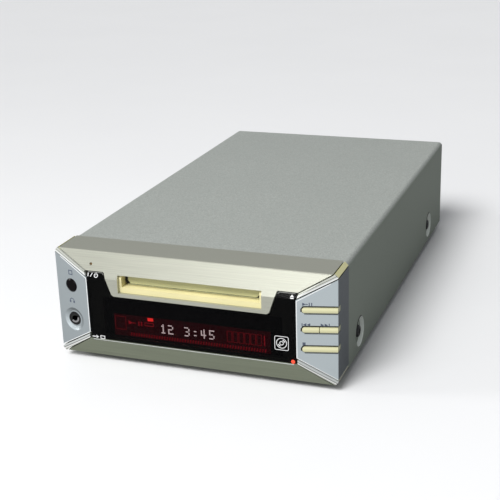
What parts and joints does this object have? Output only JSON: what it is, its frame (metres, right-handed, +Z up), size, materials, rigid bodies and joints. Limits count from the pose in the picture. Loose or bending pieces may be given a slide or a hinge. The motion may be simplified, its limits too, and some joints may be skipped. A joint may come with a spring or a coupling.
{
  "type": "minidisc deck",
  "caption": "Compact half-width minidisc deck with a faceted front, slot loading behind a sprung flap, corner bar keys, wing keys and a wrapped steel cover.",
  "frame": {"origin": "on the floor under the middle of the deck", "axes": "+Z up, front toward -Y, +X to the right seen from the front"},
  "size_m": [0.15, 0.2782, 0.0609],
  "materials": {
    "front_metal": "brushed, lightly polished",
    "wing_paint": "metallic painted moulding",
    "smoked_window": "smoked acrylic",
    "key_silver": "satin silver moulding",
    "key_cream": "champagne moulding",
    "key_light": "pale moulding",
    "cover_paint": "silver-grey powder coat",
    "zinc_steel": "zinc-plated sheet",
    "black_sheet": "black painted sheet",
    "screw_steel": "plated",
    "screw_black": "black plated",
    "foot_rubber": "moulded",
    "black_plastic": "moulded",
    "bezel_cream": "champagne moulding",
    "flap_grey": "moulded",
    "tube_glass": "display tube",
    "board_fibre": "circuit board",
    "board_paper": "circuit board",
    "sensor_lens": "dark red filter",
    "clear_plastic": "light pipe",
    "spring_steel": "wire",
    "gold_plate": "plated",
    "motor_steel": "plated can",
    "gear_nylon": "acetal",
    "mech_steel": "pressed sheet",
    "mech_black": "filled nylon",
    "pickup_alloy": "die-cast",
    "core_iron": "varnished laminations",
    "sink_alloy": "extruded"
  },
  "bodies": {
    "casing": {"upper_front_plate": "front_metal", "lower_front_plate": "front_metal", "left_wing": "wing_paint", "right_wing": "wing_paint", "display_window": "smoked_window", "front_frame": "black_plastic", "slot_bezel": "bezel_cream", "flap_spring": "spring_steel", "display_tube": "tube_glass", "display_holder": "black_plastic", "display_board": "board_fibre", "left_switch_board": "board_paper", "right_switch_board": "board_paper", "sensor_lens": "sensor_lens", "phones_jack": "black_plastic", "phones_board": "board_paper", "standby_lamp": "clear_plastic", "top_cover": "cover_paint", "side_screws": "screw_black", "rear_screws": "screw_steel", "chassis_base": "zinc_steel", "feet": "foot_rubber", "rear_panel": "black_sheet", "line_jack_block": "black_plastic", "line_jack_shells": "gold_plate", "optical_jacks": "black_plastic", "power_inlet": "black_plastic", "main_board": "board_fibre", "audio_board": "board_fibre", "power_board": "board_paper", "board_screws": "screw_steel", "heat_sink": "sink_alloy", "transformer": "core_iron", "left_bracket": "zinc_steel", "right_bracket": "zinc_steel", "mechanism_chassis": "mech_steel", "loading_motor": "motor_steel", "sled_motor": "motor_steel", "spindle_motor": "motor_steel", "guide_rods": "screw_steel", "mechanism_dampers": "foot_rubber", "mechanism_screws": "screw_steel"},
    "slot_flap": {"slot_flap": "flap_grey"},
    "turntable": {"turntable": "motor_steel"},
    "pickup_sled": {"optical_pickup": "pickup_alloy"},
    "head_arm": {"record_head_arm": "spring_steel"},
    "sled_gear": {"sled_gear": "gear_nylon"},
    "sled_pinion": {"sled_pinion": "gear_nylon"},
    "cam_slider": {"cam_slider": "mech_black"},
    "cartridge_holder": {"cartridge_holder": "mech_steel"},
    "loading_gear": {"loading_gear": "gear_nylon"},
    "loading_pinion": {"loading_pinion": "gear_nylon"},
    "power_button": {"power_button": "key_silver"},
    "eject_button": {"eject_button": "key_cream"},
    "input_button": {"input_button": "key_silver"},
    "record_button": {"record_button": "key_silver"},
    "play_button": {"play_button": "key_light"},
    "previous_button": {"previous_button": "key_light"},
    "next_button": {"next_button": "key_light"},
    "stop_button": {"stop_button": "key_light"}
  },
  "joints": [
    {"name": "power_press", "type": "slide", "parent": "casing", "child": "power_button", "axis": [0, 1, 0], "range_m": [0, 0.0006], "stiffness_N_per_m": 400},
    {"name": "eject_press", "type": "slide", "parent": "casing", "child": "eject_button", "axis": [0, 1, 0], "range_m": [0, 0.0006], "stiffness_N_per_m": 400},
    {"name": "input_press", "type": "slide", "parent": "casing", "child": "input_button", "axis": [0, 1, 0], "range_m": [0, 0.0006], "stiffness_N_per_m": 400},
    {"name": "record_press", "type": "slide", "parent": "casing", "child": "record_button", "axis": [0, 1, 0], "range_m": [0, 0.0006], "stiffness_N_per_m": 400},
    {"name": "play_press", "type": "slide", "parent": "casing", "child": "play_button", "axis": [0, 1, 0], "range_m": [0, 0.0006], "stiffness_N_per_m": 400},
    {"name": "previous_press", "type": "slide", "parent": "casing", "child": "previous_button", "axis": [0, 1, 0], "range_m": [0, 0.0006], "stiffness_N_per_m": 400},
    {"name": "next_press", "type": "slide", "parent": "casing", "child": "next_button", "axis": [0, 1, 0], "range_m": [0, 0.0006], "stiffness_N_per_m": 400},
    {"name": "stop_press", "type": "slide", "parent": "casing", "child": "stop_button", "axis": [0, 1, 0], "range_m": [0, 0.0006], "stiffness_N_per_m": 400},
    {"name": "flap_swing", "type": "hinge", "parent": "casing", "child": "slot_flap", "pos_m": [0, -0.13245, 0.04905], "axis": [1, 0, 0], "range_deg": [0, 78], "stiffness_Nm_per_rad": 0.002},
    {"name": "turntable_spin", "type": "hinge", "parent": "casing", "child": "turntable", "pos_m": [0, -0.07685, 0.0365], "axis": [0, 0, 1], "continuous": true},
    {"name": "pickup_slide", "type": "slide", "parent": "casing", "child": "pickup_sled", "axis": [0, 1, 0], "range_m": [0, 0.016]},
    {"name": "head_arm_lower", "type": "hinge", "parent": "pickup_sled", "child": "head_arm", "pos_m": [0, -0.03485, 0.053], "axis": [1, 0, 0], "range_deg": [0, 5], "stiffness_Nm_per_rad": 0.05, "springref_deg": -1.72},
    {"name": "sled_gear_turn", "type": "hinge", "parent": "casing", "child": "sled_gear", "pos_m": [0.025, -0.04685, 0.0269], "axis": [0, 0, 1], "range_deg": [-190, 0]},
    {"name": "sled_pinion_turn", "type": "hinge", "parent": "casing", "child": "sled_pinion", "pos_m": [0.0325, -0.04685, 0.0269], "axis": [0, 0, 1], "range_deg": [0, 380]},
    {"name": "cam_slide", "type": "slide", "parent": "casing", "child": "cam_slider", "axis": [0, 1, 0], "range_m": [0, 0.014]},
    {"name": "holder_lower", "type": "slide", "parent": "casing", "child": "cartridge_holder", "axis": [0, 0, 1], "range_m": [-0.003, 0]},
    {"name": "loading_gear_turn", "type": "hinge", "parent": "casing", "child": "loading_gear", "pos_m": [-0.034, -0.08685, 0.0325], "axis": [0, 0, 1], "range_deg": [-108, 0]},
    {"name": "loading_pinion_turn", "type": "hinge", "parent": "casing", "child": "loading_pinion", "pos_m": [-0.0228, -0.08685, 0.0325], "axis": [0, 0, 1], "range_deg": [0, 270]}
  ],
  "couplings": [
    {"joint": "sled_gear_turn", "follows": "pickup_slide", "rad_per_m": -200},
    {"joint": "sled_pinion_turn", "follows": "pickup_slide", "rad_per_m": 400},
    {"joint": "holder_lower", "follows": "cam_slide", "ratio": -0.21429},
    {"joint": "loading_gear_turn", "follows": "cam_slide", "rad_per_m": -125},
    {"joint": "loading_pinion_turn", "follows": "cam_slide", "rad_per_m": 312.5}
  ]
}
